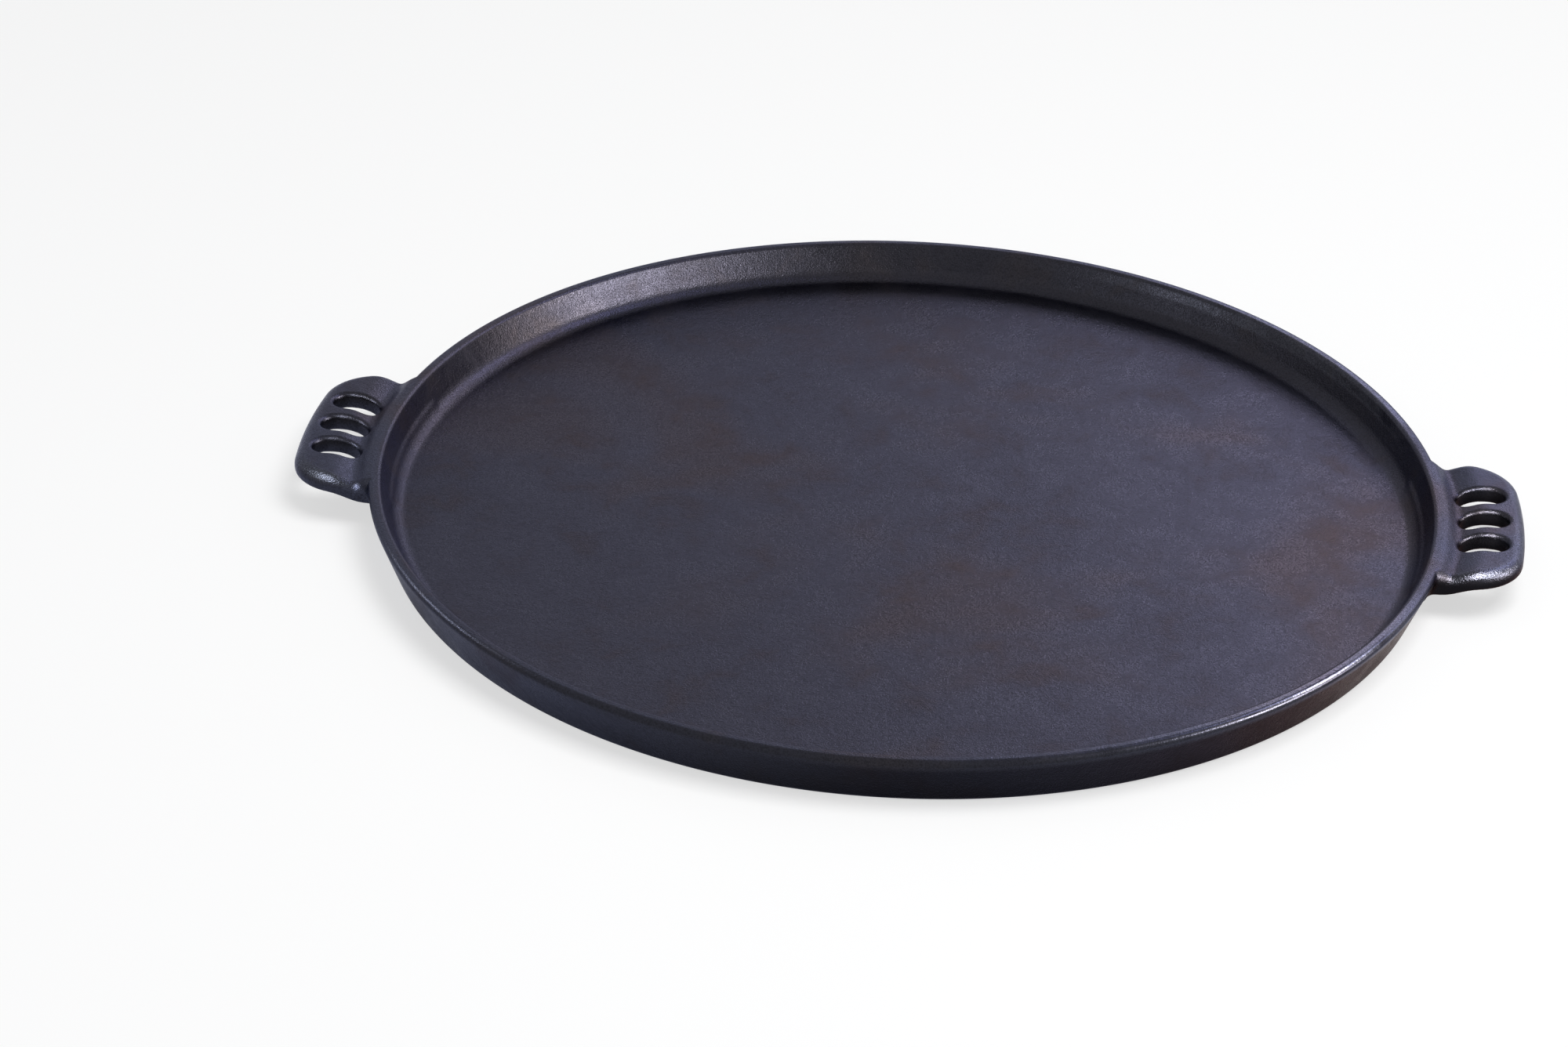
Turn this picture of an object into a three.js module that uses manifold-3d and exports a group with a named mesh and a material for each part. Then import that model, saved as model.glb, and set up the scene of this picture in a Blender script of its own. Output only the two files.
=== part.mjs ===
// Cast iron pizza pan: a low round pan with a slotted tab handle at each end.
// The real pan is one casting. It is divided here where its jobs divide: the flat floor that
// carries the food, the leaning wall round it, and the two handles that lift it.
// Units are millimetres and +Z is up. The origin is the middle of the underside, and the
// handles lie along X.
import * as THREE from "three";
import { mergeVertices } from "three/addons/utils/BufferGeometryUtils.js";
import Module from "manifold-3d";

const wasm = await Module();
wasm.setup();

// Driving dimensions of the round pan
const RIM_DIAMETER = 360; // across the widest part of the rim
const PAN_HEIGHT = 17.5; // underside to the top of the rim
const FLOOR_THICKNESS = 5;
const WALL_THICKNESS = 4.4; // measured square to the wall
const WALL_LEAN = 21; // degrees that the wall leans outwards from upright
const RIM_EDGE_RADIUS = 1.6; // on both edges of the rim's top
const COVE_RADIUS = 6; // inside, from floor to wall
const COVE_MARGIN = 2; // flat floor that the wall piece keeps inside its cove
const HEEL_RADIUS = 2; // outside, from underside to wall

// Driving dimensions of the handles
const HANDLE_REACH = 25.7; // from the rim out to the tip
const HANDLE_WIDTH = 78;
const HANDLE_THICKNESS = 6.2;
const HANDLE_DROP = 3.2; // fall from the top of the rim into the dip behind the handle
const SWEEP_RUN = 6; // distance out from the rim at which it has fallen
const HANDLE_RISE = 3.2; // climb of the handle out of the dip to its level top
const RISE_RUN = 15; // distance out from the rim at which it has climbed
const HANDLE_CORNER_RADIUS = 19;
const TOP_EDGE_RADIUS = 4; // handle edges, above
const LOW_EDGE_RADIUS = 1.4; // handle edges, below
const ROOT_FILLET_RADIUS = 5; // handle sides and underside into the wall
const JOINT_GAP = 0.3; // left between a handle and the wall that it is trimmed against

// Driving dimensions of the slots through each handle
const SLOT_COUNT = 3;
const SLOT_LENGTH = 16;
const SLOT_WIDTH = 10;
const SLOT_PITCH = 16; // between slot middles
const SLOT_OFFSET = -0.5; // slot middles out from the middle of the reach
const SLOT_EDGE_RADIUS = 1.6; // mouth of the slot, above and below

// How finely the curves are faceted
const ROUND_FACETS = 96;
const CORNER_FACETS = 4;
const OUTLINE_FACETS = 6;
const EDGE_FACETS = 3;
const SIDE_STATIONS = 4;
const CAP_COLUMNS = 6;
const WELD_DISTANCE = 1e-4;

const rimRadius = RIM_DIAMETER / 2;
const tipRadius = rimRadius + HANDLE_REACH;
const slotRadius = rimRadius + HANDLE_REACH / 2 + SLOT_OFFSET;
const lean = THREE.MathUtils.degToRad(WALL_LEAN);

const iron = (color, roughness) => new THREE.MeshStandardMaterial({ color, roughness, metalness: 0.6 });
const floorIron = iron(0x24242a, 0.6);
const wallIron = iron(0x2a2a33, 0.45);
const handleIron = iron(0x35353e, 0.55);

// Turns a closed geometry into a solid that can be cut.
function toSolid(geometry) {
  const bare = geometry.clone();
  bare.deleteAttribute("normal");
  bare.deleteAttribute("uv");
  const merged = mergeVertices(bare, WELD_DISTANCE);
  const corners = merged.index.array;
  const kept = [];
  for (let i = 0; i < corners.length; i += 3) {
    const [a, b, c] = corners.slice(i, i + 3);
    if (a !== b && b !== c && c !== a) kept.push(a, b, c);
  }
  const vertProperties = merged.attributes.position.array;
  const triVerts = new Uint32Array(kept);
  return new wasm.Manifold(new wasm.Mesh({ numProp: 3, vertProperties, triVerts }));
}

function toGeometry(solid) {
  const { vertProperties, triVerts } = solid.getMesh();
  const geometry = new THREE.BufferGeometry();
  geometry.setAttribute("position", new THREE.BufferAttribute(vertProperties, 3));
  geometry.setIndex(new THREE.BufferAttribute(triVerts, 1));
  geometry.computeVertexNormals();
  return geometry;
}

// A closed outline through the corners, with an arc of the stated radius at each.
function roundedOutline(corners) {
  const points = [];
  corners.forEach(([x, y, radius], i) => {
    const corner = new THREE.Vector2(x, y);
    if (!radius) return points.push(corner);
    const [bx, by] = corners.at(i - 1);
    const [ax, ay] = corners[(i + 1) % corners.length];
    const before = new THREE.Vector2(bx, by).sub(corner).normalize();
    const after = new THREE.Vector2(ax, ay).sub(corner).normalize();
    const half = Math.acos(before.dot(after)) / 2;
    const tangent = radius / Math.tan(half);
    const middle = before.clone().add(after).setLength(radius / Math.sin(half)).add(corner);
    const from = before.multiplyScalar(tangent).add(corner).sub(middle);
    const to = after.multiplyScalar(tangent).add(corner).sub(middle);
    const sweep = Math.sign(from.cross(to)) * (Math.PI - 2 * half);
    const origin = new THREE.Vector2();
    for (let k = 0; k <= CORNER_FACETS; k++) {
      points.push(from.clone().rotateAround(origin, (sweep * k) / CORNER_FACETS).add(middle));
    }
  });
  return points;
}

// A solid of revolution about Z from a closed outline of radius and height.
function turned(outline) {
  return new THREE.LatheGeometry([...outline, outline[0]], ROUND_FACETS).rotateX(Math.PI / 2);
}

// The wall's outside leans back from the arc that makes the rim's widest point.
const rimEdge = Math.min(RIM_EDGE_RADIUS, WALL_THICKNESS / 2);
const wallOutside = rimRadius - rimEdge + rimEdge * (1 / Math.cos(lean) + Math.tan(lean));
const wallInside = wallOutside - WALL_THICKNESS / Math.cos(lean);
const outsideAt = (z) => wallOutside - (PAN_HEIGHT - z) * Math.tan(lean);
const insideAt = (z) => wallInside - (PAN_HEIGHT - z) * Math.tan(lean);

// The cove runs along floor and wall alike, and stops short of the rim's own edge.
const coveTurn = Math.tan(Math.PI / 4 - lean / 2);
const coveRoom = (PAN_HEIGHT - FLOOR_THICKNESS) / Math.cos(lean) - rimEdge;
const cove = Math.min(COVE_RADIUS, coveRoom / coveTurn);
const floorRadius = insideAt(FLOOR_THICKNESS) - cove * coveTurn - COVE_MARGIN;

// The flat round floor. It fills the wall piece to its inner edge.
const floor = turned([
  new THREE.Vector2(0, 0),
  new THREE.Vector2(floorRadius, 0),
  new THREE.Vector2(floorRadius, FLOOR_THICKNESS),
  new THREE.Vector2(0, FLOOR_THICKNESS),
]);

// The leaning wall, with its heel below, its cove inside and its rounded rim.
const wall = turned(
  roundedOutline([
    [floorRadius, 0],
    [outsideAt(0), 0, HEEL_RADIUS],
    [wallOutside, PAN_HEIGHT, rimEdge],
    [wallInside, PAN_HEIGHT, rimEdge],
    [insideAt(FLOOR_THICKNESS), FLOOR_THICKNESS, cove],
    [floorRadius, FLOOR_THICKNESS],
  ]),
);

// Height of a handle at a distance from the pan's axis, and of its top, which sweeps up to the rim.
function handleLevel(radius) {
  const climbed = THREE.MathUtils.smootherstep(radius - rimRadius, 0, RISE_RUN);
  return PAN_HEIGHT - HANDLE_DROP + HANDLE_RISE * climbed;
}

function handleTop(radius) {
  const fallen = THREE.MathUtils.smootherstep(radius - rimRadius, -rimEdge, SWEEP_RUN);
  return handleLevel(radius) + HANDLE_DROP * (1 - fallen);
}

// The underside follows the handle, and curves down into the wall in a fillet that ends above the heel.
const rootLevel = handleLevel(rimRadius) - HANDLE_THICKNESS;
const underFillet = Math.min(ROOT_FILLET_RADIUS, (rootLevel - HEEL_RADIUS) / (1 - Math.sin(lean)));
const underFilletRadius = outsideAt(rootLevel - underFillet) + underFillet / Math.cos(lean);

function handleUnderside(radius) {
  const inwards = THREE.MathUtils.clamp(underFilletRadius - radius, 0, underFillet * Math.cos(lean));
  const drop = underFillet - Math.sqrt(underFillet ** 2 - inwards ** 2);
  return handleLevel(radius) - HANDLE_THICKNESS - drop;
}

// Points along an arc, each with the direction that faces out of the outline.
function arc(middle, radius, from, to, facing) {
  return Array.from({ length: OUTLINE_FACETS + 1 }, (_, k) => {
    const angle = THREE.MathUtils.lerp(from, to, k / OUTLINE_FACETS);
    const way = new THREE.Vector2(Math.cos(angle), Math.sin(angle));
    return { point: way.clone().multiplyScalar(radius).add(middle), out: way.multiplyScalar(facing) };
  });
}

// Half of a handle's plan, from inside the wall out to the middle of the tip.
function handlePlan() {
  const half = HANDLE_WIDTH / 2;
  const fillet = ROOT_FILLET_RADIUS;
  const corner = Math.min(HANDLE_CORNER_RADIUS, HANDLE_REACH - fillet, half);
  const onCircle = (radius, y) => new THREE.Vector2(Math.sqrt(radius ** 2 - y ** 2), y);
  const filletMiddle = onCircle(rimRadius + fillet, half + fillet);
  const cornerMiddle = onCircle(tipRadius - corner, half - corner);
  const rootWay = filletMiddle.clone().normalize();
  const side = Array.from({ length: SIDE_STATIONS - 1 }, (_, k) => {
    const x = THREE.MathUtils.lerp(filletMiddle.x, cornerMiddle.x, (k + 1) / SIDE_STATIONS);
    return { point: new THREE.Vector2(x, half), out: new THREE.Vector2(0, 1) };
  });
  return [
    { point: rootWay.clone().multiplyScalar(outsideAt(0)), out: rootWay },
    ...arc(filletMiddle, fillet, filletMiddle.angle() - Math.PI, -Math.PI / 2, -1),
    ...side,
    ...arc(cornerMiddle, corner, Math.PI / 2, cornerMiddle.angle(), 1),
    { point: new THREE.Vector2(tipRadius, 0), out: new THREE.Vector2(1, 0) },
  ];
}

// Half of a slot's plan, from its inner end to its outer end.
function slotPlan() {
  const run = (SLOT_LENGTH - SLOT_WIDTH) / 2;
  const inner = new THREE.Vector2(slotRadius - run, 0);
  const outer = new THREE.Vector2(slotRadius + run, 0);
  return [
    ...arc(inner, SLOT_WIDTH / 2, Math.PI, Math.PI / 2, 1),
    ...arc(outer, SLOT_WIDTH / 2, Math.PI / 2, 0, 1),
  ];
}

// A closed solid from a half plan, mirrored about X. Each layer draws the plan in by an inset
// at a share of the handle's thickness, and every point takes its height from the handle there.
function layered(plan, layers) {
  const place = (x, y, share) => {
    const radius = Math.hypot(x, y);
    return new THREE.Vector3(x, y, THREE.MathUtils.lerp(handleUnderside(radius), handleTop(radius), share));
  };
  const grids = layers.map(({ share, inset }) =>
    plan.map(({ point, out }) => {
      const edge = Math.max(point.y - inset * out.y, 0);
      return Array.from({ length: CAP_COLUMNS + 1 }, (_, k) =>
        place(point.x - inset * out.x, edge * (1 - (2 * k) / CAP_COLUMNS), share),
      );
    }),
  );
  const corners = [];
  const quad = (a, b, c, d) => corners.push(a, b, c, a, c, d);
  const last = plan.length - 1;
  const bottom = grids[0];
  const top = grids.at(-1);
  for (let i = 0; i < last; i++) {
    for (let k = 0; k < CAP_COLUMNS; k++) {
      quad(top[i][k], top[i][k + 1], top[i + 1][k + 1], top[i + 1][k]);
      quad(bottom[i][k], bottom[i + 1][k], bottom[i + 1][k + 1], bottom[i][k + 1]);
    }
  }
  for (let j = 0; j + 1 < grids.length; j++) {
    const [low, high] = [grids[j], grids[j + 1]];
    for (let i = 0; i < last; i++) {
      quad(low[i][0], high[i][0], high[i + 1][0], low[i + 1][0]);
      quad(low[i][CAP_COLUMNS], low[i + 1][CAP_COLUMNS], high[i + 1][CAP_COLUMNS], high[i][CAP_COLUMNS]);
    }
    for (let k = 0; k < CAP_COLUMNS; k++) {
      quad(low[0][k], low[0][k + 1], high[0][k + 1], high[0][k]);
      quad(low[last][k], high[last][k], high[last][k + 1], low[last][k + 1]);
    }
  }
  return new THREE.BufferGeometry().setFromPoints(corners);
}

// Layers of a slab whose edges are rounded: inwards for a body, outwards for a cutter.
function edgeLayers(lowRadius, topRadius, facing) {
  const roomFor = HANDLE_THICKNESS / Math.max(lowRadius + topRadius, HANDLE_THICKNESS);
  const rounding = (edgeRadius) => {
    const radius = edgeRadius * roomFor;
    return Array.from({ length: EDGE_FACETS + 1 }, (_, k) => {
      const angle = (k / EDGE_FACETS) * (Math.PI / 2);
      const share = (radius * (1 - Math.cos(angle))) / HANDLE_THICKNESS;
      return { share, inset: facing * radius * (1 - Math.sin(angle)) };
    });
  };
  const upper = rounding(topRadius).map(({ share, inset }) => ({ share: 1 - share, inset }));
  return [...rounding(lowRadius), ...upper.reverse()];
}

// A slot cutter flares at both mouths and runs a whole thickness past them.
function slotCutter() {
  const layers = edgeLayers(SLOT_EDGE_RADIUS, SLOT_EDGE_RADIUS, -1);
  const { inset } = layers[0];
  return layered(slotPlan(), [{ share: -1, inset }, ...layers, { share: 2, inset }]);
}

// Everything inside the wall's outside face, and a joint gap beyond it.
function wallKeepOut() {
  const reach = PAN_HEIGHT + HANDLE_RISE + HANDLE_THICKNESS;
  return turned([
    new THREE.Vector2(0, -reach),
    new THREE.Vector2(outsideAt(0) + JOINT_GAP, -reach),
    new THREE.Vector2(outsideAt(0) + JOINT_GAP, 0),
    new THREE.Vector2(wallOutside + JOINT_GAP, PAN_HEIGHT),
    new THREE.Vector2(wallOutside + JOINT_GAP, PAN_HEIGHT + reach),
    new THREE.Vector2(0, PAN_HEIGHT + reach),
  ]);
}

// One handle at +X: a rounded tab, trimmed to the wall and pierced by slots that point at the
// middle of the pan.
function handle() {
  let solid = toSolid(layered(handlePlan(), edgeLayers(LOW_EDGE_RADIUS, TOP_EDGE_RADIUS, 1)));
  solid = solid.subtract(toSolid(wallKeepOut()));
  for (let k = 0; k < SLOT_COUNT; k++) {
    const turn = ((k - (SLOT_COUNT - 1) / 2) * SLOT_PITCH) / slotRadius;
    solid = solid.subtract(toSolid(slotCutter().rotateZ(turn)));
  }
  return toGeometry(solid);
}

function piece(name, geometry, material) {
  const mesh = new THREE.Mesh(geometry, material);
  mesh.name = name;
  return mesh;
}

const handleShape = handle();
const rightHandle = piece("right_handle", handleShape, handleIron);
const leftHandle = piece("left_handle", handleShape, handleIron);
leftHandle.rotation.z = Math.PI;

const pan = new THREE.Group();
pan.name = "pizza_pan";
pan.add(piece("pan_floor", floor, floorIron), piece("rim_wall", wall, wallIron), rightHandle, leftHandle);

export default pan;
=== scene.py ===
"""Cast iron pizza pan: one smooth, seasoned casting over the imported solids, in a white studio."""

import math

import bmesh
import bpy
import numpy as np
from mathutils import Matrix, Vector


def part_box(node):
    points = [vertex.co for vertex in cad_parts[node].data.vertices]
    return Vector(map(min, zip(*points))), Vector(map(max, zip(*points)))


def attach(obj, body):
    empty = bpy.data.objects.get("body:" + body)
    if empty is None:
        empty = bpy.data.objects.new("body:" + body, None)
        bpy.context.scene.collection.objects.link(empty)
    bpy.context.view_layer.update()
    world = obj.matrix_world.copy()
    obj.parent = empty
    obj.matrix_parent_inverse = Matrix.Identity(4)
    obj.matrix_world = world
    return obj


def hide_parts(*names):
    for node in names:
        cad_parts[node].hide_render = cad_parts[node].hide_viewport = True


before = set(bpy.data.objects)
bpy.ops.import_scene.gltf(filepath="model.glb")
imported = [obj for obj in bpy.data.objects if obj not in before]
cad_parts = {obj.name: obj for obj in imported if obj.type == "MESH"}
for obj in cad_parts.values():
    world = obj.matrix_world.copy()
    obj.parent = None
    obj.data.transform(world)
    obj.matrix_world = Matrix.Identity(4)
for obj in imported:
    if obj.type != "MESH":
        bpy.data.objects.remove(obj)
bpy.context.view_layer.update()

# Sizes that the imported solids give, in metres
RIM_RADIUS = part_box("rim_wall")[1].y
PAN_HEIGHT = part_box("rim_wall")[1].z
FLOOR_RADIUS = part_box("pan_floor")[1].x
FLOOR_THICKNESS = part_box("pan_floor")[1].z
TIP_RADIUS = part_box("right_handle")[1].x
HANDLE_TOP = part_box("right_handle")[1].z

# The round pan
WALL_THICKNESS = 0.0044
WALL_LEAN = math.radians(21)
RIM_EDGE_RADIUS = 0.0016
COVE_RADIUS = 0.006
HEEL_RADIUS = 0.002

# The handles, and the slots through them
HANDLE_WIDTH = 0.078
HANDLE_THICKNESS = 0.0062
HANDLE_RISE = 0.0032
RISE_RUN = 0.015
SWEEP_RUN = 0.006
HANDLE_CORNER_RADIUS = 0.019
TOP_EDGE_RADIUS = 0.004
LOW_EDGE_RADIUS = 0.0014
ROOT_FILLET_RADIUS = 0.005
JOIN_RADIUS = 0.0022
SLOT_LENGTH = 0.016
SLOT_WIDTH = 0.010
SLOT_PITCH = 0.016
SLOT_OFFSET = -0.0005
SLOT_EDGE_RADIUS = 0.0016

# How finely the casting is sampled
CELL = 0.0006
HANDLE_ZONE = math.radians(17)
HANDLE_COLUMNS = 136
PLAIN_COLUMNS = 152
ARC_STEPS = 14
PROBE = 0.00015
FLOOR_RINGS = 5
RELAX_ROUNDS = 3
PROJECT_ROUNDS = 3
SPARE_CELLS = 2
RADIUS_LEAD = 0.5  # cells that the grid starts inside the floor's edge
HEIGHT_LEAD = 1.3  # cells that the grid starts below the underside
LEAST_LENGTH = 1e-8
LEAST_SQUARED_SLOPE = 0.2
HANDLE_SEAM = RIM_RADIUS + 3 * CELL
SEAM_MARGIN = CELL / 10

# Where the iron is rubbed, and where a painted highlight is added to the rim's crest: from none to full,
# as a share of the size it is measured against
EDGE_WEAR_IN = (-1.2, -0.6)
EDGE_WEAR_UP = (-0.8, -0.3)
EDGE_WEAR_OUT = (0.3, 1.5)
CREST_UP = (-3, -2)
CREST_BESIDE_HANDLE = (0.5, 1)
CREST_TO_RIGHT = (0.05, 0.8)
LEAST_POLISH = 0.05
ADDED_POLISH_AND_HIGHLIGHT = 0.5

# Where the painted shade and painted reflections on the outside set in, measured in the same way
OUTSIDE_BELOW_RIM = (0.6, 3.4)
OUTSIDE_OF_HEEL = (-2, 0)
TRAITS = ("wear", "polish_and_highlight", "baking", "outside")

# The iron's colours seen straight on, and its tints seen at a slant, with the painted shade and painted
# reflections of its outside among them
BLUE_BLACK = (0.0225, 0.0228, 0.0305, 1)
BROWN_BLACK = (0.0310, 0.0260, 0.0262, 1)
PAINTED_SHADE_BLACK = (0.0036, 0.0036, 0.0054, 1)
PAINTED_REFLECTION_BLUE_GREY = (0.036, 0.039, 0.062, 1)
HOLLOW_BLACK = (0.008, 0.008, 0.0095, 1)
WORN_AND_HIGHLIGHT_GREY = (0.062, 0.066, 0.082, 1)
BLUE_TINT = (0.71, 0.73, 0.87, 1)
BROWN_TINT = (0.66, 0.60, 0.62, 1)
PAINTED_DULL_REFLECTION_TINT = (0.60, 0.51, 0.49, 1)

# The iron's relief, in metres, and how wear and polish change it and the gloss
GRAIN_DEPTH = 0.00014
SKIN_DEPTH = 0.00010
PATCH_DEPTH = 0.00012
GRAIN_ADDED_BY_WEAR = 0.5
GRAIN_LOST_TO_POLISH = 1.5
ROUGHNESS_RUBBED_OFF = 0.08

# The photograph's camera
CAMERA_TARGET = Vector((-0.0392, -0.0156, 0.0015))
CAMERA_DISTANCE = 1.2988
CAMERA_AZIMUTH = math.radians(6.216)
CAMERA_ELEVATION = math.radians(29.53)
CAMERA_ROLL = math.radians(1.80)
CAMERA_LENS = 88.95
SENSOR_WIDTH = 36

# The studio
PAPER_REACH = 6
PAPER_GAP = 0.0001
PAPER_WHITE = 0.62
PAPER_WHITE_IN_GLOSS = 0.3
PAPER_TONE = (0.94, 0.94, 0.94, 1)
PLAIN_WHITE = (1, 1, 1, 1)
WORLD_TONE = (0.96, 0.98, 1, 1)
WORLD_LIGHT = 0.35

# Lines of the section
rim_step = RIM_EDGE_RADIUS * (1 / math.cos(WALL_LEAN) + math.tan(WALL_LEAN))
wall_outside = RIM_RADIUS - RIM_EDGE_RADIUS + rim_step
wall_inside = wall_outside - WALL_THICKNESS / math.cos(WALL_LEAN)
slot_radius = (RIM_RADIUS + TIP_RADIUS) / 2 + SLOT_OFFSET


def outside_at(z):
    return wall_outside - (PAN_HEIGHT - z) * math.tan(WALL_LEAN)


def inside_at(z):
    return wall_inside - (PAN_HEIGHT - z) * math.tan(WALL_LEAN)


def smooth_step(value, low, high):
    share = np.clip((value - low) / (high - low), 0, 1)
    return share**3 * (10 + share * (6 * share - 15))


# Outlines
def arc(middle, radius, start, end):
    """Points along an arc, both ends included."""
    angles = np.linspace(start, end, ARC_STEPS + 1)
    return np.stack([middle[0] + radius * np.cos(angles), middle[1] + radius * np.sin(angles)], axis=1)


def rounded_outline(corners):
    """A closed outline through (x, y, radius) corners, with an arc at each corner that has a radius."""
    parts = []
    for i, (x, y, radius) in enumerate(corners):
        corner = Vector((x, y))
        if not radius:
            parts.append(np.array([corner]))
            continue
        before = (Vector(corners[i - 1][:2]) - corner).normalized()
        after = (Vector(corners[(i + 1) % len(corners)][:2]) - corner).normalized()
        half = before.angle(after) / 2
        middle = corner + (before + after).normalized() * radius / math.sin(half)
        start = corner + before * radius / math.tan(half) - middle
        turn = math.copysign(math.pi - 2 * half, before.y * after.x - before.x * after.y)
        first = math.atan2(start.y, start.x)
        parts.append(arc(middle, radius, first, first + turn))
    return np.concatenate(parts)


def pan_section():
    """The pan's section, as radius and height, from the axis out."""
    return rounded_outline([
        (0, 0, 0),
        (outside_at(0), 0, HEEL_RADIUS),
        (wall_outside, PAN_HEIGHT, RIM_EDGE_RADIUS),
        (wall_inside, PAN_HEIGHT, RIM_EDGE_RADIUS),
        (inside_at(FLOOR_THICKNESS), FLOOR_THICKNESS, COVE_RADIUS),
        (0, FLOOR_THICKNESS, 0),
    ])


def handle_plan():
    """The half of a handle's plan with y above zero, carried on past its middle and into the pan."""
    half = HANDLE_WIDTH / 2
    fillet_across = half + ROOT_FILLET_RADIUS
    fillet = (math.sqrt((RIM_RADIUS + ROOT_FILLET_RADIUS) ** 2 - fillet_across**2), fillet_across)
    corner_across = half - HANDLE_CORNER_RADIUS
    corner_out = math.sqrt((TIP_RADIUS - HANDLE_CORNER_RADIUS) ** 2 - corner_across**2)
    corner_turn = math.atan2(corner_across, corner_out)
    fillet_turn = math.atan2(fillet[1], fillet[0])
    root = FLOOR_RADIUS * np.array([math.cos(fillet_turn), math.sin(fillet_turn)])
    return np.concatenate([
        [(FLOOR_RADIUS, -HANDLE_WIDTH), (TIP_RADIUS, -HANDLE_WIDTH)],
        arc((0, 0), TIP_RADIUS, 0, corner_turn),
        arc((corner_out, corner_across), HANDLE_CORNER_RADIUS, corner_turn, math.pi / 2),
        arc(fillet, ROOT_FILLET_RADIUS, -math.pi / 2, fillet_turn - math.pi),
        [root],
    ])


def outline_distance(x, y, outline):
    """Distance of points from a closed outline, negative inside."""
    shape = np.broadcast(x, y).shape
    nearest = np.full(shape, np.inf)
    inside = np.zeros(shape, bool)
    for (ax, ay), (bx, by) in zip(outline, np.roll(outline, -1, axis=0)):
        run, rise = bx - ax, by - ay
        squared = run * run + rise * rise
        if squared < LEAST_LENGTH**2:
            continue
        share = np.clip(((x - ax) * run + (y - ay) * rise) / squared, 0, 1)
        nearest = np.minimum(nearest, (x - ax - share * run) ** 2 + (y - ay - share * rise) ** 2)
        if rise:
            inside ^= ((ay > y) != (by > y)) & (x < ax + run * (y - ay) / rise)
    return np.where(inside, -1, 1) * np.sqrt(nearest)


# The casting as a field that is negative in the iron
SECTION = pan_section()
PLAN = handle_plan()


def rounded_cut(a, b, radius):
    """What lies inside both a and b, with a rounded edge between them."""
    a, b = a + radius, b + radius
    return np.minimum(np.maximum(a, b), 0) + np.hypot(np.maximum(a, 0), np.maximum(b, 0)) - radius


def rounded_join(a, b, radius):
    """What lies inside a or b, with a fillet between them."""
    gap = np.hypot(np.maximum(radius - a, 0), np.maximum(radius - b, 0))
    return np.maximum(radius, np.minimum(a, b)) - gap


def slot_distance(x, y, turn):
    """Distance in plan from a slot that is turned about the pan's axis."""
    along = x * math.cos(turn) + y * math.sin(turn) - slot_radius
    across = y * math.cos(turn) - x * math.sin(turn)
    run = (SLOT_LENGTH - SLOT_WIDTH) / 2
    return np.hypot(np.maximum(np.abs(along) - run, 0), across) - SLOT_WIDTH / 2


def handle_level(radius):
    """Height of a handle's climbing top, away from its sweep up to the rim."""
    return HANDLE_TOP - HANDLE_RISE * (1 - smooth_step(radius - RIM_RADIUS, 0, RISE_RUN))


def handle_top(radius):
    """Height of a handle's top, with its sweep up to the rim."""
    fallen = smooth_step(radius - RIM_RADIUS, -RIM_EDGE_RADIUS, SWEEP_RUN)
    return handle_level(radius) + (PAN_HEIGHT - HANDLE_TOP + HANDLE_RISE) * (1 - fallen)


def casting(radius, turn, z):
    """The field of the whole casting, at cylindrical places.

    Both handles, and both halves of each, are alike.
    """
    pan = outline_distance(radius, z, SECTION)
    lean_in = np.maximum(RIM_RADIUS - outside_at(z), 0)
    planned = radius + lean_in * (1 - smooth_step(radius - RIM_RADIUS, 0, RISE_RUN))
    plan = outline_distance(np.abs(planned * np.cos(turn)), np.abs(planned * np.sin(turn)), PLAN)
    x = np.abs(radius * np.cos(turn))
    y = np.abs(radius * np.sin(turn))
    above = z - handle_top(radius)
    below = handle_level(radius) - HANDLE_THICKNESS - z
    from_above = rounded_cut(plan, above, TOP_EDGE_RADIUS)
    from_below = rounded_cut(plan, below, LOW_EDGE_RADIUS)
    handle = np.maximum(from_above, from_below)
    for slot_turn in (0, SLOT_PITCH / slot_radius):
        hole = slot_distance(x, y, slot_turn)
        handle = np.maximum(handle, rounded_cut(-hole, np.maximum(above, below), SLOT_EDGE_RADIUS))
    in_wall = (outside_at(z) + inside_at(z)) / 2
    handle = np.maximum(handle, (in_wall - radius) * math.cos(WALL_LEAN))
    under = smooth_step(-plan, 0, 2 * ROOT_FILLET_RADIUS) * smooth_step(-below, HANDLE_THICKNESS / 2, 0)
    fillet = JOIN_RADIUS * smooth_step(-above, 0, TOP_EDGE_RADIUS)
    return rounded_join(pan, handle, fillet + (ROOT_FILLET_RADIUS - JOIN_RADIUS) * under)


def casting_at(points):
    x, y, z = points.T
    return casting(np.hypot(x, y), np.arctan2(y, x), z)


def slope_at(points, reach):
    """The field's gradient at the points, by differences over the reach."""
    rises = [casting_at(points + step) - casting_at(points - step) for step in np.eye(3) * reach]
    return np.stack([rise / (2 * reach) for rise in rises], axis=1)


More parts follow.
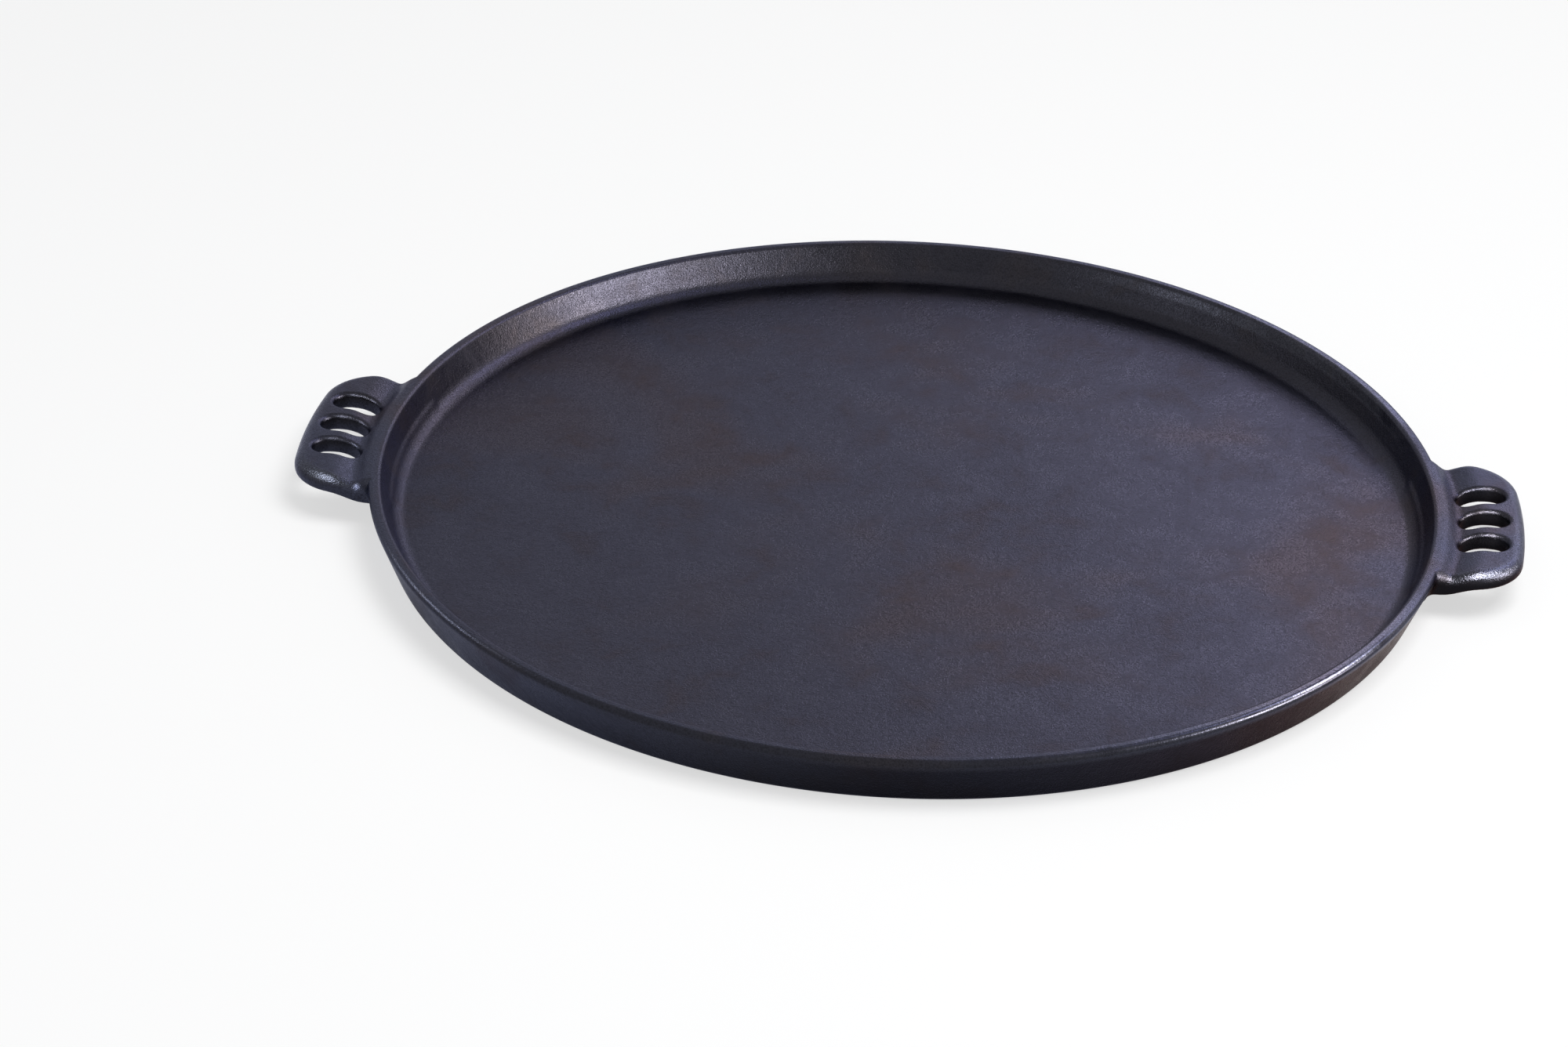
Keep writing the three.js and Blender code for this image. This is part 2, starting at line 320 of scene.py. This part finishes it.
def worn_at(points):
    """How worn the handles' top edges are, and how polished the rim is, with a painted highlight added to
    the crest's polish most of all at its right.
    """
    x, y, z = points.T
    radius = np.hypot(x, y)
    edge = smooth_step(outline_distance(np.abs(x), np.abs(y), PLAN) / TOP_EDGE_RADIUS, *EDGE_WEAR_IN)
    edge = edge * smooth_step((z - handle_top(radius)) / TOP_EDGE_RADIUS, *EDGE_WEAR_UP)
    edge = edge * smooth_step((radius - RIM_RADIUS) / SWEEP_RUN, *EDGE_WEAR_OUT)
    crest = smooth_step((z - PAN_HEIGHT) / RIM_EDGE_RADIUS, *CREST_UP)
    crest = crest * (radius < RIM_RADIUS + RIM_EDGE_RADIUS)
    beside = smooth_step(np.abs(y) / HANDLE_WIDTH, *CREST_BESIDE_HANDLE)
    # Painted highlight: more polish is added on the crest towards the right, but not beside the handles
    to_right = smooth_step(x / RIM_RADIUS, *CREST_TO_RIGHT)
    return edge, crest * (LEAST_POLISH + ADDED_POLISH_AND_HIGHLIGHT * beside * to_right)


def sides_at(points):
    """How far points belong to the side that food lies in, and to the outside of the wall."""
    x, y, z = points.T
    radius = np.hypot(x, y)
    middle = (outside_at(z) + inside_at(z)) / 2
    baking = smooth_step(middle - radius, 0, RIM_EDGE_RADIUS) * (z > FLOOR_THICKNESS - CELL)
    below = smooth_step((PAN_HEIGHT - z) / RIM_EDGE_RADIUS, *OUTSIDE_BELOW_RIM)
    heel = smooth_step((radius - outside_at(0)) / HEEL_RADIUS, *OUTSIDE_OF_HEEL)
    return baking, below * heel * (1 - baking)


# The casting's surface as a mesh
def sample_lines():
    """Radii, turns and heights of the sampling grid. Turns are closest together round the handles."""
    reach = TIP_RADIUS - FLOOR_RADIUS + SPARE_CELLS * CELL
    radii = FLOOR_RADIUS + CELL * (np.arange(math.ceil(reach / CELL) + 1) - RADIUS_LEAD)
    heights = CELL * (np.arange(math.ceil(PAN_HEIGHT / CELL) + SPARE_CELLS + 1) - HEIGHT_LEAD)
    fine = np.linspace(-HANDLE_ZONE, HANDLE_ZONE, HANDLE_COLUMNS, endpoint=False)
    plain = np.linspace(HANDLE_ZONE, math.pi - HANDLE_ZONE, PLAIN_COLUMNS, endpoint=False)
    half_round = np.concatenate([fine, plain])
    return radii, np.concatenate([half_round, half_round + math.pi]), heights


def surface_net(values):
    """Quads round each sign change of a grid that closes on itself along its second axis.

    Returns the grid place of each corner, the corners of each quad, and the first index of the grid
    edge that each quad stands across.
    """
    values = np.concatenate([values, values[:, :1]], axis=1)
    cells = np.array(values.shape) - 1
    total = np.zeros((3, *cells))
    count = np.zeros(cells)
    across = []
    for axis in range(3):
        low = np.take(values, np.arange(cells[axis]), axis)
        high = np.take(values, np.arange(1, cells[axis] + 1), axis)
        crossing = (low < 0) != (high < 0)
        share = np.where(crossing, low / np.where(crossing, low - high, 1), 0)
        u, v = (other for other in range(3) if other != axis)
        for du in (0, 1):
            for dv in (0, 1):
                window = [slice(None)] * 3
                window[u] = slice(du, du + cells[u])
                window[v] = slice(dv, dv + cells[v])
                met = crossing[tuple(window)]
                count += met
                total[axis] += share[tuple(window)]
                total[u] += du * met
                total[v] += dv * met
        across.append((crossing, low < 0, u, v))
    number = np.cumsum(count.ravel() > 0).reshape(count.shape) - 1
    places = np.argwhere(count > 0) + (total[:, count > 0] / count[count > 0]).T

    quads, edges = [], []
    for axis, (crossing, leaving, u, v) in enumerate(across):
        at = np.argwhere(crossing)
        for other in (u, v):
            lowest = 0 if other == 1 else 1
            at = at[(at[:, other] >= lowest) & (at[:, other] < cells[other])]
        around = []
        for du, dv in ((1, 1), (0, 1), (0, 0), (1, 0)):
            cell = at.copy()
            cell[:, u] -= du
            cell[:, v] -= dv
            cell[:, 1] %= cells[1]
            around.append(number[tuple(cell.T)])
        found = np.stack(around, axis=1)
        flip = leaving[tuple(at.T)] == (axis == 1)
        found[flip] = found[flip][:, ::-1]
        quads.append(found)
        edges.append(at[:, 0])
    return places, np.concatenate(quads), np.concatenate(edges)


def along_lines(lines, places):
    return np.interp(places, np.arange(len(lines)), lines)


def settle(points, quads, loose):
    """Evens the mesh out, and puts each corner on the surface."""
    pairs = np.concatenate([quads[:, [k, (k + 1) % 4]] for k in range(4)])
    for relaxing in [True] * RELAX_ROUNDS + [False] * PROJECT_ROUNDS:
        if relaxing:
            near = np.zeros((len(points), 4))
            for k in range(3):
                near[:, k] = np.bincount(pairs[:, 0], points[pairs[:, 1], k], len(points))
                near[:, k] += np.bincount(pairs[:, 1], points[pairs[:, 0], k], len(points))
            near[:, 3] = np.bincount(pairs.ravel(), minlength=len(points))
            points = np.where(loose[:, None], near[:, :3] / near[:, 3:], points)
        slope = slope_at(points, PROBE)
        step = casting_at(points) / np.maximum((slope**2).sum(1), LEAST_SQUARED_SLOPE)
        points = points - np.clip(step, -CELL, CELL)[:, None] * slope
    return points


def casting_mesh():
    """Corners, directions and quads of the casting outside its floor, and each quad's radius."""
    radii, turns, heights = sample_lines()
    values = casting(radii[:, None, None], turns[None, :, None], heights[None, None, :])
    places, quads, edges = surface_net(values)
    radius = along_lines(radii, places[:, 0])
    turn = along_lines(np.append(turns, turns[0] + 2 * math.pi), places[:, 1])
    z = along_lines(heights, places[:, 2])
    points = np.stack([radius * np.cos(turn), radius * np.sin(turn), z], axis=1)
    points = settle(points, quads, places[:, 0] >= 1)
    slope = slope_at(points, PROBE)
    wear, polish_and_highlight = worn_at(points)
    baking, outside = sides_at(points)
    traits = {
        "normal": slope / np.linalg.norm(slope, axis=1, keepdims=True),
        "wear": wear,
        "polish_and_highlight": polish_and_highlight,
        "baking": baking,
        "outside": outside,
    }
    return points, traits, quads, radii[edges]


# Pieces
def piece(name, node, points, traits, faces):
    """A closed piece of the casting that stands for a node. Open ends are closed where pieces meet."""
    used = np.unique(np.concatenate([np.ravel(f) for f in faces]))
    place = np.zeros(len(points), int)
    place[used] = np.arange(len(used))
    mesh = bpy.data.meshes.new(name)
    mesh.from_pydata(points[used].tolist(), [], [place[f].tolist() for f in faces])
    shell = bmesh.new()
    shell.from_mesh(mesh)
    open_edges = [e for e in shell.edges if e.is_boundary]
    if open_edges:
        caps = bmesh.ops.holes_fill(shell, edges=open_edges, sides=0)["faces"]
        bmesh.ops.triangulate(shell, faces=caps, ngon_method="BEAUTY")
    bmesh.ops.recalc_face_normals(shell, faces=shell.faces)
    shell.to_mesh(mesh)
    shell.free()
    mesh.shade_smooth()
    mesh.normals_split_custom_set_from_vertices(traits["normal"][used].tolist())
    for trait in TRAITS:
        mesh.attributes.new(trait, "FLOAT", "POINT").data.foreach_set("value", traits[trait][used])
    made = bpy.data.objects.new(name, mesh)
    bpy.context.scene.collection.objects.link(made)
    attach(made, "root")
    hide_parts(node)
    return made


def disc(loop, points, traits, flat_traits):
    """Faces that close a flat loop in rings, each with half the corners of the ring outside it."""
    faces = []

    def add(new_points):
        count = len(new_points)
        grown = {name: np.concatenate([traits[name], [flat_traits[name]] * count]) for name in traits}
        return len(points) + np.arange(count), np.concatenate([points, new_points]), grown

    for ring in range(FLOOR_RINGS, 0, -1):
        share = np.array([ring / (ring + 1), ring / (ring + 1), 1])
        inner, points, traits = add(points[loop[::2]] * share)
        for k in range(len(inner)):
            a, b, c = loop[2 * k], loop[2 * k + 1], loop[(2 * k + 2) % len(loop)]
            here, following = inner[k], inner[(k + 1) % len(inner)]
            faces += [[a, b, here], [b, following, here], [b, c, following]]
        loop = inner
    middle, points, traits = add(points[loop[:1]] * [0, 0, 1])
    faces += [[loop[k - 1], loop[k], middle[0]] for k in range(len(loop))]
    return points, traits, faces


points, traits, quads, quad_radius = casting_mesh()
handle_quads = quad_radius > HANDLE_SEAM
right_quads = points[quads].mean(1)[:, 0] > 0

seam = np.hypot(points[:, 0], points[:, 1]) < FLOOR_RADIUS + SEAM_MARGIN
loops = []
for level in (0, FLOOR_THICKNESS):
    found = np.flatnonzero(seam & (np.abs(points[:, 2] - level) < CELL))
    loops.append(found[np.argsort(np.arctan2(points[found, 1], points[found, 0]))])
low_loop, high_loop = loops
skirt = [[low_loop[k - 1], low_loop[k], high_loop[k], high_loop[k - 1]] for k in range(len(low_loop))]
baking_face = {"normal": (0, 0, 1), "wear": 0, "polish_and_highlight": 0, "baking": 1, "outside": 0}
underside = {"normal": (0, 0, -1), "wear": 0, "polish_and_highlight": 0, "baking": 0, "outside": 0}
floor_points, floor_traits, top_faces = disc(high_loop, points, traits, baking_face)
floor_points, floor_traits, low_faces = disc(low_loop, floor_points, floor_traits, underside)

floor_faces = top_faces + low_faces + skirt
wall_faces = list(quads[~handle_quads]) + skirt
right_faces = list(quads[handle_quads & right_quads])
left_faces = list(quads[handle_quads & ~right_quads])

iron_pieces = [
    piece("casting_floor", "pan_floor", floor_points, floor_traits, floor_faces),
    piece("casting_wall", "rim_wall", points, traits, wall_faces),
    piece("casting_handle_right", "right_handle", points, traits, right_faces),
    piece("casting_handle_left", "left_handle", points, traits, left_faces),
]


# Finish
def add_node(tree, kind, sockets, **settings):
    """A node whose sockets take a number, a colour or another node's output."""
    made = tree.nodes.new(kind)
    for name, value in settings.items():
        setattr(made, name, value)
    for name, value in sockets.items():
        if isinstance(value, bpy.types.NodeSocket):
            tree.links.new(value, made.inputs[name])
        else:
            made.inputs[name].default_value = value
    return made


def math_node(tree, operation, a, b):
    return add_node(tree, "ShaderNodeMath", {0: a, 1: b}, operation=operation).outputs[0]


def seasoned_iron():
    """Sand-cast iron under baked-on oil: blue-black, browner where oil has gathered, finely grained."""
    material = bpy.data.materials.new("seasoned_iron")
    material.use_nodes = True
    tree = material.node_tree
    shader = tree.nodes["Principled BSDF"]
    place = add_node(tree, "ShaderNodeTexCoord", {}).outputs["Object"]

    def trait(name):
        return add_node(tree, "ShaderNodeAttribute", {}, attribute_name=name).outputs["Fac"]

    def noise(scale, detail, rough=0.5, distortion=0.0):
        sockets = {"Vector": place, "Scale": scale, "Detail": detail}
        sockets |= {"Roughness": rough, "Distortion": distortion}
        return add_node(tree, "ShaderNodeTexNoise", sockets).outputs["Fac"]

    def total(a, b):
        return math_node(tree, "ADD", a, b)

    def less(a, b):
        return math_node(tree, "SUBTRACT", a, b)

    def product(a, b):
        return math_node(tree, "MULTIPLY", a, b)

    def ramp(value, low, high, start, end):
        """Goes smoothly from start to end as the value goes from low to high."""
        sockets = {"Value": value, "From Min": low, "From Max": high, "To Min": start, "To Max": end}
        made = add_node(tree, "ShaderNodeMapRange", sockets, interpolation_type="SMOOTHSTEP")
        return made.outputs["Result"]

    def mixed(share, first, second):
        sockets = {"Factor": share, "A": first, "B": second}
        return add_node(tree, "ShaderNodeMix", sockets, data_type="RGBA").outputs["Result"]

    wear, polish_and_highlight, baking, outside = (trait(name) for name in TRAITS)
    rubbed_and_highlight = total(wear, polish_and_highlight)
    blotch = noise(scale=11, detail=3, rough=0.55, distortion=0.6)
    patch = noise(scale=60, detail=4, rough=0.6, distortion=0.4)
    skin = noise(scale=420, detail=2)
    grain = noise(scale=1900, detail=2, rough=0.6)
    across = add_node(tree, "ShaderNodeSeparateXYZ", {"Vector": place}).outputs["X"]

    # Colour: painted shade on the outside at the front and right, a painted blue-grey reflection at its
    # left, a painted brown reflection towards its right
    browned_and_painted_reflection = total(ramp(blotch, 0.45, 0.75, 0, 0.5), ramp(patch, 0.5, 0.75, 0, 0.3))
    browned_and_painted_reflection = total(browned_and_painted_reflection, product(baking, 0.15))
    # Painted brown reflection on the outside, growing towards the right; the brown of the blotches and of
    # the baking side is the iron's own
    browned_and_painted_reflection = total(browned_and_painted_reflection, product(outside, ramp(across, 0.0, 0.12, 0, 0.5)))
    body = mixed(browned_and_painted_reflection, BLUE_BLACK, BROWN_BLACK)
    # Painted shade: the outside goes darker from a little left of the middle towards the right
    body = mixed(product(outside, ramp(across, -0.06, 0.02, 0, 0.8)), body, PAINTED_SHADE_BLACK)
    # Painted blue-grey reflection on the outside at the left
    body = mixed(product(outside, ramp(across, -0.12, -0.03, 0.8, 0)), body, PAINTED_REFLECTION_BLUE_GREY)
    body = mixed(ramp(grain, 0.3, 0.6, 0.55, 0), body, HOLLOW_BLACK)
    # The rubbed edges, and the painted highlight on the rim's crest at the right, are a lighter grey
    worn_and_highlight = product(rubbed_and_highlight, ramp(patch, 0.3, 0.6, 0.15, 0.6))
    worn_and_highlight = product(worn_and_highlight, ramp(grain, 0.35, 0.6, 0.3, 1))
    tree.links.new(mixed(worn_and_highlight, body, WORN_AND_HIGHLIGHT_GREY), shader.inputs["Base Color"])
    shader.inputs["Metallic"].default_value = 1
    tint = mixed(browned_and_painted_reflection, BLUE_TINT, BROWN_TINT)
    # Painted brown reflection: the outside's tint at a slant is duller towards the right
    tint = mixed(product(outside, ramp(across, 0.06, 0.16, 0, 0.8)), tint, PAINTED_DULL_REFLECTION_TINT)
    tree.links.new(tint, shader.inputs["Specular Tint"])

    # Gloss
    rough = total(ramp(patch, 0.3, 0.7, 0.25, 0.37), ramp(blotch, 0.35, 0.65, 0.03, -0.03))
    rough = less(rough, product(rubbed_and_highlight, ROUGHNESS_RUBBED_OFF))
    rough = total(rough, ramp(grain, 0.3, 0.7, 0.06, -0.04))
    tree.links.new(rough, shader.inputs["Roughness"])

    # Relief
    kept = total(1, product(wear, GRAIN_ADDED_BY_WEAR))
    kept = less(kept, product(polish_and_highlight, GRAIN_LOST_TO_POLISH))
    relief = product(product(grain, kept), GRAIN_DEPTH)
    relief = total(relief, product(skin, SKIN_DEPTH))
    relief = total(relief, product(patch, PATCH_DEPTH))
    bump = add_node(tree, "ShaderNodeBump", {"Strength": 1, "Distance": 1, "Height": relief})
    tree.links.new(bump.outputs["Normal"], shader.inputs["Normal"])
    return material


iron = seasoned_iron()
for made in iron_pieces:
    made.data.materials.append(iron)


# Studio
def seen_share(tree, white, white_in_gloss):
    """The share of plain white that rays get: the camera's and those through glass, and those in gloss.

    Other rays get none.
    """
    rays = add_node(tree, "ShaderNodeLightPath", {}).outputs
    seen = math_node(tree, "MAXIMUM", rays["Is Camera Ray"], rays["Is Transmission Ray"])
    in_gloss = math_node(tree, "MULTIPLY", rays["Is Glossy Ray"], white_in_gloss)
    return math_node(tree, "MAXIMUM", math_node(tree, "MULTIPLY", seen, white), in_gloss)


def studio_paper():
    """White paper that takes the shadow. Part of what is seen of it is its own white."""
    material = bpy.data.materials.new("studio_paper")
    material.use_nodes = True
    tree = material.node_tree
    tree.nodes.clear()
    lit = add_node(tree, "ShaderNodeBsdfDiffuse", {"Color": PAPER_TONE}).outputs[0]
    white = add_node(tree, "ShaderNodeEmission", {"Color": PLAIN_WHITE, "Strength": 1}).outputs[0]
    share = seen_share(tree, PAPER_WHITE, PAPER_WHITE_IN_GLOSS)
    paper = add_node(tree, "ShaderNodeMixShader", {0: share, 1: lit, 2: white}).outputs[0]
    add_node(tree, "ShaderNodeOutputMaterial", {"Surface": paper})
    return material


def studio_floor():
    mesh = bpy.data.meshes.new("studio_floor")
    corners = [(-1, -1), (1, -1), (1, 1), (-1, 1)]
    mesh.from_pydata([(x * PAPER_REACH, y * PAPER_REACH, 0) for x, y in corners], [], [(0, 1, 2, 3)])
    mesh.materials.append(studio_paper())
    made = bpy.data.objects.new("studio_floor", mesh)
    bpy.context.scene.collection.objects.link(made)
    made.location.z = -PAPER_GAP


def soft_box(name, place, target, size, power, colour, shown_in_gloss=True):
    """A lamp that the camera can't see. It shows in gloss alone, or it lights the paper and not gloss."""
    lamp = bpy.data.lights.new(name, "AREA")
    lamp.shape = "RECTANGLE"
    lamp.size, lamp.size_y = size
    lamp.energy = power
    lamp.color = colour
    made = bpy.data.objects.new(name, lamp)
    made.location = place
    made.rotation_euler = (Vector(target) - Vector(place)).to_track_quat("-Z", "Y").to_euler()
    made.visible_camera = False
    made.visible_diffuse = not shown_in_gloss
    made.visible_glossy = shown_in_gloss
    bpy.context.scene.collection.objects.link(made)


def studio_world():
    """White all round, which lights the scene less than it shows."""
    world = bpy.data.worlds.new("studio")
    bpy.context.scene.world = world
    world.use_nodes = True
    tree = world.node_tree
    tree.nodes.clear()
    light = {"Color": WORLD_TONE, "Strength": WORLD_LIGHT}
    lighting = add_node(tree, "ShaderNodeBackground", light).outputs[0]
    white = add_node(tree, "ShaderNodeBackground", {"Color": PLAIN_WHITE, "Strength": 1}).outputs[0]
    sockets = {0: seen_share(tree, 1, 1), 1: lighting, 2: white}
    both = add_node(tree, "ShaderNodeMixShader", sockets).outputs[0]
    add_node(tree, "ShaderNodeOutputWorld", {"Surface": both})


def studio_lamps():
    soft_box(
        "overhead",
        place=(0.55, -0.25, 1.6),
        target=(0, 0, 0),
        size=(1.0, 1.0),
        power=24,
        colour=(1, 1, 1),
        shown_in_gloss=False,
    )
    soft_box(
        "strip_right",
        place=(1.25, -0.15, 0.33),
        target=(0.1, -0.1, 0),
        size=(0.8, 0.5),
        power=18,
        colour=(1, 0.95, 0.96),
    )
    soft_box(
        "core_right",
        place=(1.25, -0.3, 0.36),
        target=(0.1, -0.1, 0),
        size=(0.25, 0.35),
        power=16,
        colour=(1, 0.97, 0.98),
    )
    soft_box(
        "sky_right",
        place=(0.75, 0.5, 0.95),
        target=(0.1, -0.1, 0),
        size=(0.5, 0.5),
        power=8,
        colour=(0.6, 0.62, 1),
    )
    soft_box(
        "sheen_right",
        place=(1.08, 1.5, 0.86),
        target=(1.08, 0, 0),
        size=(2, 0.4),
        power=18,
        colour=(0.92, 0.88, 1),
    )
    soft_box(
        "sheen_back",
        place=(-0.25, 1.6, 1.0),
        target=(-0.05, 0, 0),
        size=(0.9, 0.3),
        power=1.5,
        colour=(0.95, 0.96, 1),
    )
    soft_box(
        "glint_right",
        place=(0.209, -0.07, 0.085),
        target=(0.197, -0.037, 0.016),
        size=(0.06, 0.05),
        power=0.6,
        colour=(1, 0.99, 0.98),
    )
    soft_box(
        "glint_left",
        place=(-0.225, -0.07, 0.085),
        target=(-0.2, -0.037, 0.016),
        size=(0.035, 0.05),
        power=0.18,
        colour=(0.9, 0.95, 1),
    )


def photograph_camera():
    lens = bpy.data.cameras.new("camera")
    lens.lens = CAMERA_LENS
    lens.sensor_width = SENSOR_WIDTH
    camera = bpy.data.objects.new("camera", lens)
    bpy.context.scene.collection.objects.link(camera)
    flat = math.cos(CAMERA_ELEVATION)
    right, away = math.sin(CAMERA_AZIMUTH) * flat, -math.cos(CAMERA_AZIMUTH) * flat
    back = Vector((right, away, math.sin(CAMERA_ELEVATION)))
    turned = (-back).to_track_quat("-Z", "Y").to_matrix() @ Matrix.Rotation(CAMERA_ROLL, 3, "Z")
    camera.matrix_world = Matrix.Translation(CAMERA_TARGET + back * CAMERA_DISTANCE) @ turned.to_4x4()
    bpy.context.scene.camera = camera


studio_floor()
studio_world()
studio_lamps()
photograph_camera()
bpy.context.scene.view_settings.view_transform = "Standard"
